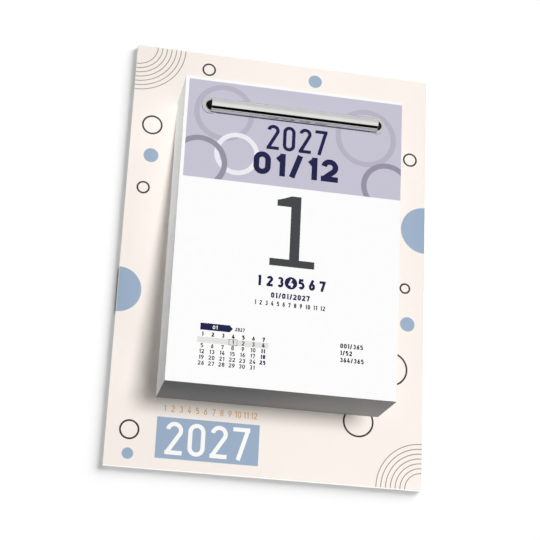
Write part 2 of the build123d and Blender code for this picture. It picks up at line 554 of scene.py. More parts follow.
def print_piece(name, marks, level, inks):
    """One thin mesh of all the marks of a print. Each mark is an ink, a lift above the paper and a grid of
    flat points. Quads that a crop left without area are dropped, and the rest get the ink's depth."""
    order = list(inks)
    points, quads, index = [], [], []
    count = 0
    for ink, lift, grid in marks:
        flat = grid.reshape(-1, 2)
        cells = grid_quads(*grid.shape[:2])
        one, two = flat[cells[:, 2]] - flat[cells[:, 0]], flat[cells[:, 3]] - flat[cells[:, 1]]
        cells = cells[one[:, 0] * two[:, 1] - one[:, 1] * two[:, 0] > LEAST_AREA]
        points.append(np.column_stack((flat, np.full(len(flat), level + lift))))
        quads.append(cells + count)
        index.append(np.full(len(cells), order.index(ink)))
        count += len(flat)
    points = np.concatenate(points)
    used, numbers = np.unique(np.concatenate(quads), return_inverse=True)
    points, quads = points[used], numbers.reshape(-1, 4)
    piece = new_piece(name, points, quads, points[quads][:, :, :2], inks.values(), np.concatenate(index))
    depth = piece.modifiers.new("ink_depth", "SOLIDIFY")
    depth.thickness = INK_DEPTH * MM
    depth.offset = -1
    return piece


def marked(ink, lift, shapes):
    """Marks of one ink from shapes that each have a small lift of their own."""
    return [(ink, lift + own, grid) for own, grid in shapes]


def cropped(marks, low, high):
    """Marks drawn in to a rectangle: what stood outside falls flat on its edge."""
    return [(ink, lift, np.clip(grid, low, high)) for ink, lift, grid in marks]


# Materials

# Waves of noise in a metre, along X, Y and Z or along U and V
PAPER_CLOUD, CARD_CLOUD = (260, 260, 260), (120, 120, 120)
PAPER_TOOTH, CARD_TOOTH = (2600, 5200, 2600), (2200, 3600, 2200)
LEAF_STREAK, FEW_LEAVES = (90, 9000, 0), (12, 1600, 0)
INK_MOTTLE, BOARD_FLECK, BOARD_PLY = (900, 900, 900), (900, 900, 900), (160, 160, 5200)
METAL_WEAR, BAR_GRAIN = (140, 140, 140), (30, 9000, 9000)
STRIP_GRAIN, WASHER_GRAIN = (60, 6000, 6000), (1800, 1800, 1800)
NOISE_LOW, NOISE_HIGH = 0.25, 0.75  # most of the noise lies between these
FLECK_START, FLECK_FULL = 0.66, 0.74  # noise from which a fleck shows, and shows fully
FACES_UP = 0.5  # least rise of the normal of a level face
MIX_FIRST, MIX_SECOND, MIX_RESULT = 6, 7, 2  # colour sockets of a Mix node


class Nodes:
    """A new node material: its shader, and short ways to add nodes and link them."""

    def __init__(self, name):
        self.material = bpy.data.materials.new(name)
        self.material.use_nodes = True
        self.tree = self.material.node_tree
        self.shader = self.tree.nodes["Principled BSDF"]

    def add(self, kind, **inputs):
        """A node of a kind with values or links for its inputs, whose names use _ for a space."""
        node = self.tree.nodes.new(kind)
        for socket, value in inputs.items():
            self.put(node.inputs[socket.replace("_", " ")], value)
        return node

    def put(self, socket, value):
        """Sets an input, by a link where the value is another node's output."""
        if isinstance(value, bpy.types.NodeSocket):
            self.tree.links.new(value, socket)
        else:
            socket.default_value = value

    def at(self, source):
        """Object or UV coordinates."""
        return self.add("ShaderNodeTexCoord").outputs[source]

    def axes(self, vector):
        """X, Y and Z of a vector."""
        return self.add("ShaderNodeSeparateXYZ", Vector=vector).outputs

    def math(self, operation, *values):
        """Result of a sum, product or other operation on one or two numbers."""
        node = self.tree.nodes.new("ShaderNodeMath")
        node.operation = operation
        for socket, value in zip(node.inputs, values):
            self.put(socket, value)
        return node.outputs["Value"]

    def noise(self, vector, scale, detail=3.0):
        """Noise over coordinates times a scale for each axis, about even around a half."""
        place = self.add("ShaderNodeMapping", Vector=vector, Scale=scale).outputs["Vector"]
        return self.add("ShaderNodeTexNoise", Vector=place, Scale=1.0, Detail=detail).outputs["Fac"]

    def ramp(self, value, start, stop, low=0.0, high=1.0):
        """A value's way from start to stop as a number from low to high, which it doesn't leave."""
        limits = {"From_Min": start, "From_Max": stop, "To_Min": low, "To_Max": high}
        return self.add("ShaderNodeMapRange", Value=value, **limits).outputs["Result"]

    def spread(self, noise, low, high):
        """Noise spread from low to high."""
        return self.ramp(noise, NOISE_LOW, NOISE_HIGH, low, high)

    def blend(self, share, first, second):
        """Colour mixed from first to second."""
        node = self.tree.nodes.new("ShaderNodeMix")
        node.data_type = "RGBA"
        self.put(node.inputs["Factor"], share)
        for socket, value in ((MIX_FIRST, first), (MIX_SECOND, second)):
            value = value if isinstance(value, bpy.types.NodeSocket) else (*value, 1)
            self.put(node.inputs[socket], value)
        return node.outputs[MIX_RESULT]

    def bump(self, height, depth, strength):
        """Bump by a height from 0 to 1 that counts as a depth in millimetres, put on the shader."""
        node = self.add("ShaderNodeBump", Height=height, Distance=depth * MM, Strength=strength)
        self.put(self.shader.inputs["Normal"], node.outputs["Normal"])

    def set(self, **inputs):
        """Sets the shader's own inputs, and gives the material."""
        for socket, value in inputs.items():
            self.put(self.shader.inputs[socket.replace("_", " ")], value)
        return self.material


def shaded(shade, factor):
    """A colour made darker or lighter."""
    return tuple(min(1.0, channel * factor) for channel in shade)


def paper_material(name, shade, source):
    """Uncoated paper: cloudy formation, fine fibre tooth and a dull face."""
    nodes = Nodes(name)
    place = nodes.at(source)
    cloud = nodes.spread(nodes.noise(place, PAPER_CLOUD), 0, 1)
    fibre = nodes.noise(place, PAPER_TOOTH, detail=4)
    nodes.bump(fibre, depth=0.02, strength=0.25)
    return nodes.set(
        Base_Color=nodes.blend(cloud, shaded(shade, 0.985), shade),
        Roughness=nodes.spread(fibre, 0.78, 0.92),
        Specular_IOR_Level=0.06,
    )


def edge_material(name, shade, source):
    """Cut edges of many leaves: a grey of its own for each leaf and for each few leaves, drawn out along
    the edge, with fibres."""
    nodes = Nodes(name)
    x, y, z = nodes.axes(nodes.at(source))
    along, height = (x, y) if source == "UV" else (nodes.math("ADD", x, y), z)
    place = nodes.add("ShaderNodeCombineXYZ", X=along, Y=height).outputs["Vector"]
    grey = nodes.tree.nodes.new("ShaderNodeTexWhiteNoise")
    grey.noise_dimensions = "1D"
    nodes.put(grey.inputs["W"], nodes.math("FLOOR", nodes.math("DIVIDE", height, LEAF_PITCH * MM)))
    streak = nodes.spread(nodes.noise(place, LEAF_STREAK, detail=2), 0, 1)
    few = nodes.spread(nodes.noise(place, FEW_LEAVES), 0, 1)
    leaf_tone = nodes.blend(grey.outputs["Value"], shaded(shade, 0.8), shade)
    few_tone = nodes.blend(few, shaded(shade, 0.84), shaded(shade, 1.06))
    nodes.bump(streak, depth=0.03, strength=0.35)
    return nodes.set(
        Base_Color=nodes.blend(streak, leaf_tone, few_tone),
        Roughness=0.9,
        Specular_IOR_Level=0.04,
    )


def ink_material(name, shade, source):
    """Offset ink on paper: an even colour whose gloss is mottled, over the paper's tooth."""
    nodes = Nodes(name)
    place = nodes.at(source)
    tooth = nodes.noise(place, PAPER_TOOTH, detail=4)
    nodes.bump(tooth, depth=0.015, strength=0.2)
    mottle = nodes.spread(nodes.noise(place, INK_MOTTLE), 0.5, 0.7)
    return nodes.set(Base_Color=(*shade, 1), Roughness=mottle, Specular_IOR_Level=0.06)


def card_material(settings):
    """Printed card: cream ink with a cloudy ground on the face, and white paper at the cut edges."""
    nodes = Nodes("card_face")
    place = nodes.at("Object")
    cloud = nodes.spread(nodes.noise(place, CARD_CLOUD), 0, 1)
    cream = nodes.blend(cloud, shaded(settings.cream, 0.985), settings.cream)
    normal = nodes.axes(nodes.add("ShaderNodeNewGeometry").outputs["Normal"])
    face = nodes.math("GREATER_THAN", normal["Z"], FACES_UP)
    tooth = nodes.noise(place, CARD_TOOTH, detail=4)
    nodes.bump(tooth, depth=0.015, strength=0.2)
    return nodes.set(
        Base_Color=nodes.blend(face, settings.white, cream),
        Roughness=nodes.spread(tooth, 0.5, 0.65),
        Specular_IOR_Level=0.1,
    )


def board_material(settings):
    """Lined board: pale fibres in plies along the edge, with a few grey flecks."""
    nodes = Nodes("lined_board")
    place = nodes.at("Object")
    ply = nodes.spread(nodes.noise(place, BOARD_PLY, detail=4), 0, 1)
    fleck = nodes.noise(place, BOARD_FLECK, detail=5)
    spots = nodes.ramp(fleck, FLECK_START, FLECK_FULL)
    plies = nodes.blend(ply, shaded(settings.board, 0.93), settings.board)
    nodes.bump(fleck, depth=0.04, strength=0.3)
    return nodes.set(
        Base_Color=nodes.blend(spots, plies, shaded(settings.board, 0.8)),
        Roughness=0.88,
        Specular_IOR_Level=0.05,
    )


def metal_material(name, shade, gloss, grain, depth, painted_shade=NO_PAINTED_SHADE):
    """Metal with a grain, such as drawn lines along X: noise that varies its gloss and height, and wear
    that varies its tone. Below the first of two heights it gets a painted shade, nearly black, which fades
    out by the second."""
    nodes = Nodes(name)
    place = nodes.at("Object")
    line = nodes.noise(place, grain, detail=4)
    worn = nodes.noise(place, METAL_WEAR)
    nodes.bump(line, depth, strength=0.3)
    # Painted shade: nearly black below the first height, the metal's own tone above the second
    unshaded_share = nodes.ramp(nodes.axes(place)["Z"], painted_shade[0] * MM, painted_shade[1] * MM)
    tone = nodes.blend(nodes.spread(worn, 0, 1), shaded(shade, 0.94), shade)
    return nodes.set(
        Base_Color=nodes.blend(unshaded_share, shaded(shade, 0.12), tone),
        Metallic=1.0,
        Roughness=nodes.spread(line, gloss * 0.8, gloss * 1.3),
    )


def dress(node, material):
    """Puts a material on a CAD node's slots."""
    piece = frame["nodes"][node]
    if not piece.material_slots:
        piece.data.materials.append(material)
    for slot in piece.material_slots:
        slot.material = material


def found(name, make, *facts):
    """A material by name, made the first time that it is asked for."""
    return bpy.data.materials.get(name) or make(name, *facts)


LEAF_INKS = (
    "lilac", "lilac_pale", "lilac_mid", "lilac_dark", "navy",
    "day_grey", "text_grey", "table_grey", "tag_white",
)


def leaf_inks(settings):
    """The leaves' ink materials by name."""
    return {ink: found("ink_" + ink, ink_material, getattr(settings, ink), "UV") for ink in LEAF_INKS}


# The print on a leaf

def band_marks():
    """The rings on the band at the head of a leaf."""
    left, head = on_page(BAND_LEFT, BAND_HEAD)
    foot = PAGE_HEAD - BAND_FOOT
    marks = []
    for order, (ink, x, y, radius, width) in enumerate(BAND_RINGS):
        marks.append((ink, SHAPE_LIFT + order * STROKE_LIFT, ring(*on_page(x, y), radius, width)))
    return cropped(marks, (left, foot), (PAGE_RIGHT, head))


def stub_marks():
    """The band on the stub, with the holes left open, and the rings above the tear line."""
    left, head = on_page(BAND_LEFT, BAND_HEAD)
    inner = HOLE_OFFSET - HOLE_PATCH
    ground = [
        holed_patch(left, TEAR_LINE, -inner, head, (-HOLE_OFFSET, HOLE_LINE)),
        patch(-inner, TEAR_LINE, inner, head),
        holed_patch(inner, TEAR_LINE, PAGE_RIGHT, head, (HOLE_OFFSET, HOLE_LINE)),
    ]
    marks = [("lilac", GROUND_LIFT, grid) for grid in ground]
    return marks + cropped(band_marks(), (PAGE_LEFT, TEAR_LINE), (PAGE_RIGHT, PAGE_HEAD))


def perforation_marks():
    """A row of fine slits just below the tear line, drawn as dark strips: painted shade in place of real
    cuts.
    """
    starts = np.arange(PAGE_LEFT + SLIT_PITCH, PAGE_RIGHT - SLIT_PITCH, SLIT_PITCH)
    line = TEAR_LINE - SLIT_WIDE
    slits = [patch(x, line - SLIT_WIDE / 2, x + SLIT_LONG, line + SLIT_WIDE / 2) for x in starts]
    return [("lilac_dark", OVER_LIFT, slit) for slit in slits]


def head_marks(year, month):
    """The band below the tear line with its rings, the year and the number of the month."""
    left = PAGE_LEFT + BAND_LEFT
    foot = PAGE_HEAD - BAND_FOOT
    head = TEAR_LINE - TEAR_GAP
    marks = [("lilac", GROUND_LIFT, patch(left, foot, PAGE_RIGHT, head))]
    marks += cropped(band_marks(), (PAGE_LEFT, PAGE_FOOT), (PAGE_RIGHT, head))
    years = figures(
        str(year), *on_page(PRINT_MIDDLE, YEAR_LINE), YEAR_HIGH, YEAR_STROKE, wide=0.47, gap=0.14
    )
    months = figures(
        f"{month:02}/{len(MONTHS)}", *on_page(PRINT_MIDDLE, MONTH_LINE), MONTH_HIGH, MONTH_STROKE, wide=0.72
    )
    return marks + marked("navy", FIGURE_LIFT, years + months)


def day_marks(day, column):
    """The large figure of the day, and the week's figures with the day's own on a disc."""
    middle, line = on_page(PRINT_MIDDLE, DAY_LINE)
    if day == 1:
        large = slab_one(middle, line)
    else:
        large = figures(str(day), middle, line, DAY_HIGH, DAY_STROKE, wide=0.6)
    marks = marked("day_grey", GROUND_LIFT, large)
    for place in range(WEEK):
        x, y = on_page(PRINT_MIDDLE + (place - (WEEK - 1) / 2) * WEEK_PITCH, WEEK_LINE)
        ink, high, stroke = "navy", WEEK_HIGH, WEEK_STROKE
        if place == column:
            marks.append(("navy", GROUND_LIFT, disc(x, y + WEEK_HIGH / 2, WEEK_DISC)))
            ink, high, stroke = "tag_white", DISC_HIGH, DISC_STROKE
        foot = y + (WEEK_HIGH - high) / 2
        marks += marked(ink, FIGURE_LIFT, figures(str(place + 1), x, foot, high, stroke, wide=0.58))
    return marks


def small_marks(year, month, day):
    """The date and a row of the months under the week, and the counts of days and weeks at the right."""
    of_year = sum(MONTH_DAYS[: month - 1]) + day
    all_days = sum(MONTH_DAYS)
    week = (of_year + FIRST_COLUMN - 1) // WEEK + 1
    date = figures(
        f"{day:02}/{month:02}/{year}", *on_page(PRINT_MIDDLE, DATE_LINE), DATE_HIGH, DATE_STROKE, wide=0.62
    )
    year_row = " ".join(str(number) for number in range(1, len(MONTHS) + 1))
    row_of_months = figures(year_row, *on_page(PRINT_MIDDLE, ROW_LINE), ROW_HIGH, ROW_STROKE)
    marks = marked("navy", GROUND_LIFT, date) + marked("text_grey", GROUND_LIFT, row_of_months)
    facts = (f"{of_year:03}/{all_days}", f"{week}/{WEEKS}", f"{all_days - of_year}/{all_days}")
    for row, text in enumerate(facts):
        at = on_page(FACTS_LEFT, FACTS_LINE + row * FACTS_ROW)
        fact = figures(text, *at, FACTS_HIGH, FACTS_STROKE, wide=0.6, align=0)
        marks += marked("text_grey", GROUND_LIFT, fact)
    return marks


def tag_marks(year, month):
    """The pointed tag with the month's number, and the year beside it."""
    left, head = on_page(TAG_LEFT, TAG_HEAD)
    right, foot = on_page(TAG_RIGHT, TAG_FOOT)
    middle = (head + foot) / 2
    tip = right + TAG_POINT
    lower = np.array(((left, foot), (right, foot), (tip, middle)))
    upper = np.array(((left, head), (right, head), (tip, middle)))
    line = middle - TAG_HIGH / 2
    number = figures(f"{month:02}", (left + right) / 2, line, TAG_HIGH, TAG_STROKE, wide=0.7)
    beside = figures(str(year), tip + TAG_GAP, line, TAG_HIGH, TABLE_STROKE, align=0)
    return (
        [("navy", GROUND_LIFT, between(lower, upper))]
        + marked("tag_white", FIGURE_LIFT, number)
        + marked("text_grey", GROUND_LIFT, beside)
    )


def table_marks(month, day):
    """The month's days in rows of seven under the week's numbers, with a ground behind the first row, a
    frame round the leaf's own day and the last column in heavy figures."""
    start = (FIRST_COLUMN + sum(MONTH_DAYS[: month - 1])) % WEEK
    left, head = on_page(TABLE_LEFT, TABLE_HEAD)
    half, room = TABLE_PITCH / 2, (TABLE_ROW - TABLE_HIGH) / 2
    right = left + (WEEK - 1) * TABLE_PITCH
    ground = patch(left - half, head - room, right + half, head + TABLE_HIGH + room)
    marks = [("table_grey", GROUND_LIFT, ground)]
    for column in range(WEEK):
        x = left + column * TABLE_PITCH
        head_figure = figures(str(column + 1), x, PAGE_HEAD - HEADS_LINE, TABLE_HIGH, TABLE_BOLD, wide=0.62)
        marks += marked("text_grey", GROUND_LIFT, head_figure)
    for number in range(1, MONTH_DAYS[month - 1] + 1):
        row, column = divmod(start + number - 1, WEEK)
        x, y = left + column * TABLE_PITCH, head - row * TABLE_ROW
        last = column == WEEK - 1
        shapes = figures(str(number), x, y, TABLE_HIGH, TABLE_BOLD if last else TABLE_STROKE, wide=0.62)
        marks += marked("navy" if last else "text_grey", FIGURE_LIFT, shapes)
        if number == day:
            left_side, right_side = x - FRAME_SHARE * half, x + FRAME_SHARE * half
            low_side, high_side = y - room, y + TABLE_HIGH + room
            box = run(
                (left_side, low_side), (right_side, low_side), (right_side, high_side),
                (left_side, high_side), (left_side, low_side),
            )
            marks.append(("text_grey", OVER_LIFT, ribbon(box, TABLE_STROKE / 2, closed=True)))
    return marks


def leaf_marks(year, month, day):
    """Every mark on a leaf below its tear line."""
    column = (FIRST_COLUMN + sum(MONTH_DAYS[: month - 1]) + day - 1) % WEEK
    return (
        head_marks(year, month)
        + perforation_marks()
        + day_marks(day, column)
        + small_marks(year, month, day)
        + tag_marks(year, month)
        + table_marks(month, day)
    )


def bend_rows(straight_end, bend_start, bend_end):
    """Places along Y of a sheet's rows: wide ones where it stays flat and fine ones where it bends."""
    flat = np.linspace(straight_end, bend_end, FLAT_ROWS)[:-1]
    bent = np.linspace(bend_end, bend_start, math.ceil((bend_start - bend_end) / INK_STEP) + 1)
    return np.concatenate((flat, bent))


# Operators

class CALENDAR_OT_card(bpy.types.Operator):
    """Lined board and its printed face."""

    bl_idname = "calendar.card"
    bl_label = "Backing Card"

    def execute(self, context):
        settings = context.scene.calendar_card
        dress("backing_board", board_material(settings))
        dress("front_print", card_material(settings))
        return {"FINISHED"}


class CALENDAR_OT_card_print(bpy.types.Operator):
    """Rings, discs, corner arcs, month numbers and the year block on the card."""

    bl_idname = "calendar.card_print"
    bl_label = "Print on the Card"

    def execute(self, context):
        settings = context.scene.calendar_card
        names = ("blue", "outline", "contour", "ochre", "white")
        inks = {ink: ink_material("card_" + ink, getattr(settings, ink), "UV") for ink in names}
        marks = [("blue", GROUND_LIFT, disc(*place)) for place in BLUE_DISCS]
        marks += [("outline", SHAPE_LIFT, ring(*place, OUTLINE_WIDTH)) for place in OUTLINE_RINGS]
        for x, y, radius, count in CORNER_ARCS:
            for order in range(count):
                marks.append(("contour", SHAPE_LIFT, ring(x, y, radius + order * ARC_PITCH, ARC_WIDTH)))
        marks = cropped(marks, card_low[:2], card_high[:2])
        left, low, right, high = YEAR_BLOCK
        marks.append(("blue", OVER_LIFT, patch(left, low, right, high)))
        year = figures(
            str(context.scene.calendar_leaf.year), (left + right) / 2, BLOCK_YEAR_LINE,
            BLOCK_YEAR_HIGH, BLOCK_YEAR_STROKE,
        )
        marks += marked("white", FIGURE_LIFT, year)
        for month, x in enumerate(np.linspace(*MONTH_ROW, len(MONTHS)), start=1):
            number = figures(str(month), x, MONTH_ROW_LINE, MONTH_ROW_HIGH, MONTH_ROW_STROKE)
            marks += marked("ochre", FIGURE_LIFT, number)
        piece = print_piece("card_face_print", marks, CARD_TOP, inks)
        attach(piece, "card")
        return {"FINISHED"}


class CALENDAR_OT_month_stacks(bpy.types.Operator):
    """Loose leaves and stubs of the twelve months, with the print on each month's upper leaf."""

    bl_idname = "calendar.month_stacks"
    bl_label = "Month Stacks"

    def execute(self, context):
        settings = context.scene.calendar_leaf
        stub_edges = edge_material("stub_edges", settings.edge, "Object")
        materials = (
            edge_material("leaf_edges", settings.edge, "UV"),
            found("page_paper", paper_material, settings.paper, "UV"),
        )
        bend_end = TEAR_LINE - settings.stack_bend / MM
        for number, month in enumerate(MONTHS, start=1):
            dress(month + "_stub", stub_edges)
            piece = self.stack(month, number, bend_end, materials, settings.unevenness / MM)
            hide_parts(month + "_leaves")
            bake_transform(piece)
            level = node_box(month + "_leaves")[1][2]
            day = 2 if number == 1 else 1  # the year's first day is a leaf of its own
            marks = leaf_marks(settings.year, number, day)
            face = print_piece(month + "_leaf_print", marks, level, leaf_inks(settings))
            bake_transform(face)
        return {"FINISHED"}

    @staticmethod
    def stack(month, number, bend_end, materials, unevenness):
        """One month's leaves below the tear line: the outside of a block with two layers of points for
        each leaf. A leaf's left, right and lower edges stand back by its own small share, which fades
        out towards the tear line."""
        low, high = node_box(month + "_leaves")
        leaves = round((high[2] - low[2]) / LEAF_PITCH)
        rows = bend_rows(PAGE_FOOT, TEAR_LINE, bend_end)
        corners, quads, axes = block_shell(ACROSS, len(rows) - 1, 2 * leaves - 1)
        leaf = corners[:, 2] // 2
        draw = np.random.default_rng(number)
        wave = np.sin(np.linspace(0, WAVE_TURN, leaves) + number) ** 2
        left, right, foot = unevenness * (CHANCE_SHARE * draw.random((3, leaves)) + WAVE_SHARE * wave)
        y = rows[corners[:, 1]]
        fade = np.clip((TEAR_LINE - y) / (TEAR_LINE - bend_end), 0, 1)
        start = low[0] + left[leaf] * fade
        stop = high[0] - right[leaf] * fade
        x = start + (stop - start) * corners[:, 0] / ACROSS
        y = y + np.where(corners[:, 1] == 0, foot[leaf], 0)
        z = low[2] + (leaf + corners[:, 2] % 2) * LEAF_PITCH
        points = np.stack((x, y, z), axis=1)
        uv = flat_uv(points, quads, axes)
        return new_piece(month + "_stack", points, quads, uv, materials, axes == UP_AXIS)


class CALENDAR_OT_day_leaf(bpy.types.Operator):
    """The first day's leaf, its stub and their print."""

    bl_idname = "calendar.day_leaf"
    bl_label = "Day Leaf"

    def execute(self, context):
        settings = context.scene.calendar_leaf
        paper = found("page_paper", paper_material, settings.paper, "UV")
        bend_end = MARGIN_LINE - settings.leaf_bend / MM
        piece = self.sheet(paper, bend_end, settings.thickness / MM)
        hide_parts("day_leaf_margin", "day_leaf_sheet")
        face = print_piece(
            "day_leaf_print", leaf_marks(settings.year, 1, 1), PAGE_TOP, leaf_inks(settings)
        )
        for part in (piece, face):
            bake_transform(part)
        dress("day_leaf_stub", paper_material("stub_paper", settings.paper, "Object"))
        stub = print_piece("day_leaf_stub_print", stub_marks(), PAGE_TOP, leaf_inks(settings))
        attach(stub, "card")
        return {"FINISHED"}

    @staticmethod
    def sheet(paper, bend_end, thickness):
        """The leaf below its tear line: the outside of a block one cell thick."""
        rows = np.append(bend_rows(PAGE_FOOT, MARGIN_LINE, bend_end), TEAR_LINE)
        corners, quads, axes = block_shell(ACROSS, len(rows) - 1, 1)
        x = PAGE_LEFT + (PAGE_RIGHT - PAGE_LEFT) * corners[:, 0] / ACROSS
        z = PAGE_TOP - thickness * (1 - corners[:, 2])
        points = np.stack((x, rows[corners[:, 1]], z), axis=1)
        return new_piece("day_leaf", points, quads, flat_uv(points, quads, axes), (paper,), 0)


class CALENDAR_OT_binding_bar(bpy.types.Operator):
    """Half-round bar over the head of the block."""

    bl_idname = "calendar.binding_bar"
    bl_label = "Binding Bar"

    def execute(self, context):
        settings = context.scene.calendar_metal
        piece = self.shell(settings.bar_wall / MM, settings.lip / MM)
        # The bar's lowest part gets a painted shade where it stands over the page
        painted_shade = bar_low[2] + np.array(BAR_PAINTED_SHADE)
        plate = metal_material("bar_plate", settings.bar, gloss=0.04, grain=BAR_GRAIN, depth=0.001, painted_shade=painted_shade)
        piece.data.materials.append(plate)
        edge = piece.modifiers.new("worn_edge", "BEVEL")
        edge.width = BAR_BEVEL * MM
        edge.segments = BEVEL_STEPS
        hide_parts("binding_bar")
        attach(piece, "card")
        return {"FINISHED"}

    @staticmethod
    def shell(wall, lip):
        """Sheet metal carried along X. Its outer line is a half ellipse of the bar's half width and height,
        its inner one a half ellipse smaller by the wall, and both run on to the ends of the lips."""
        half, rise = (bar_high[1] - bar_low[1]) / 2, bar_high[2] - bar_low[2]
        lip_end = half - wall - lip
        lean = math.asin(wall / (rise - wall))
        outer = CALENDAR_OT_binding_bar.bow(half, rise, 0)
        inner = CALENDAR_OT_binding_bar.bow(half - wall, rise - wall, lean)
        lines = [
            np.concatenate((((-lip_end, foot),), line, ((lip_end, foot),)))
            for foot, line in ((wall, inner), (0, outer))
        ]
        section = np.stack(lines, axis=1) + (HOLE_LINE, bar_low[2])
        corners, quads, axes = block_shell(1, len(section) - 1, 1)
        x = np.array((bar_low[0], bar_high[0]))[corners[:, 0]]
        points = np.column_stack((x, section[corners[:, 1], corners[:, 2]]))
        return new_piece("binding_bar_shell", points, quads, flat_uv(points, quads, axes), (), 0, BAR_CREASE)

    @staticmethod
    def bow(half, rise, lean):
        """Half ellipse from the lower to the upper side of the bar, between two angles above its foot."""
        angle = np.linspace(math.pi - lean, lean, BOW_STEPS)
        return np.stack((half * np.cos(angle), rise * np.sin(angle)), axis=1)


class CALENDAR_OT_washers(bpy.types.Operator):
    """Flat rings round the two holes."""

    bl_idname = "calendar.washers"
    bl_label = "Washers"

    def execute(self, context):
        settings = context.scene.calendar_metal
        metal = metal_material("washer_satin", settings.washer, gloss=0.38, grain=WASHER_GRAIN, depth=0.004)
        for side in ("left", "right"):
            piece = self.ring_of(side + "_washer", settings.washer_round / MM)
            piece.data.materials.append(metal)
            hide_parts(side + "_washer")
            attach(piece, "card")
        return {"FINISHED"}

    @staticmethod
    def ring_of(node, edge):
        """A ring turned about the hole's axis: a rectangle whose two upper corners are quarter circles."""
        low, high = node_box(node)
        outer, thick = (high[0] - low[0]) / 2, high[2] - low[2]
        quarter = np.radians(np.linspace(0, 90, ROUND_STEPS))
        round_over = np.stack((np.cos(quarter), np.sin(quarter)), axis=1) * edge
        shoulder = thick - edge
        profile = np.concatenate((
            ((WASHER_BORE, 0), (outer, 0)),
            round_over + (outer - edge, shoulder),
            round_over[::-1] * (-1, 1) + (WASHER_BORE + edge, shoulder),
        ))
        turn = np.linspace(0, 2 * np.pi, TURN_STEPS, endpoint=False)[:, None]
        middle = (low + high) / 2
        points = np.stack(
            np.broadcast_arrays(
                middle[0] + profile[:, 0] * np.cos(turn),
                middle[1] + profile[:, 0] * np.sin(turn),
                low[2] + profile[:, 1],
            ),
            axis=-1,
        )
        rows, columns = points.shape[:2]
        number = np.pad(np.arange(rows * columns).reshape(rows, columns), ((0, 1), (0, 1)), mode="wrap")
        quads = number.ravel()[grid_quads(rows + 1, columns + 1)]
        points = points.reshape(-1, 3)
        return new_piece(node + "_ring", points, quads, points[quads][:, :, :2], (), 0, WASHER_CREASE)


class CALENDAR_OT_prong_strip(bpy.types.Operator):
    """Steel strip inside the bar."""

    bl_idname = "calendar.prong_strip"
    bl_label = "Prong Strip"

    def execute(self, context):
        settings = context.scene.calendar_metal
        steel = metal_material("plain_strip", settings.strip, gloss=0.34, grain=STRIP_GRAIN, depth=0.004)
        dress("prong_strip", steel)
        return {"FINISHED"}


# Stage

def aimed(place, target):
    """Turn that points an object's -Z from a place to a target."""
    return (Vector(target) - Vector(place)).to_track_quat("-Z", "Y")


def stage_object(name, data, place, turn):
    """A lamp or the camera, placed in millimetres."""
    thing = bpy.data.objects.new(name, data)
    bpy.context.scene.collection.objects.link(thing)
    thing.location = Vector(place) * MM
    thing.rotation_mode = "QUATERNION"
    thing.rotation_quaternion = turn
    return thing


def plane(name, corners, material):
    """A piece of the stage: one quad between four corners."""
    points = np.array(corners)
    quads = np.arange(len(points)).reshape(1, -1)
    piece = new_piece(name, points, quads, points[quads][:, :, :2], (material,), 0)
    return piece


def hide(thing, *rays):
    """Hides a lamp or a piece of the stage from some kinds of rays."""
    for ray in rays:
        setattr(thing, "visible_" + ray, False)


def group_of(name, members):
    """A collection of the objects that a lamp lights, or is shaded by. No group excludes an object: where
    one did and another included it, the shadows changed from one run to the next."""
    group = bpy.data.collections.new(name)
    for member in members:
        group.objects.link(member)
    return group


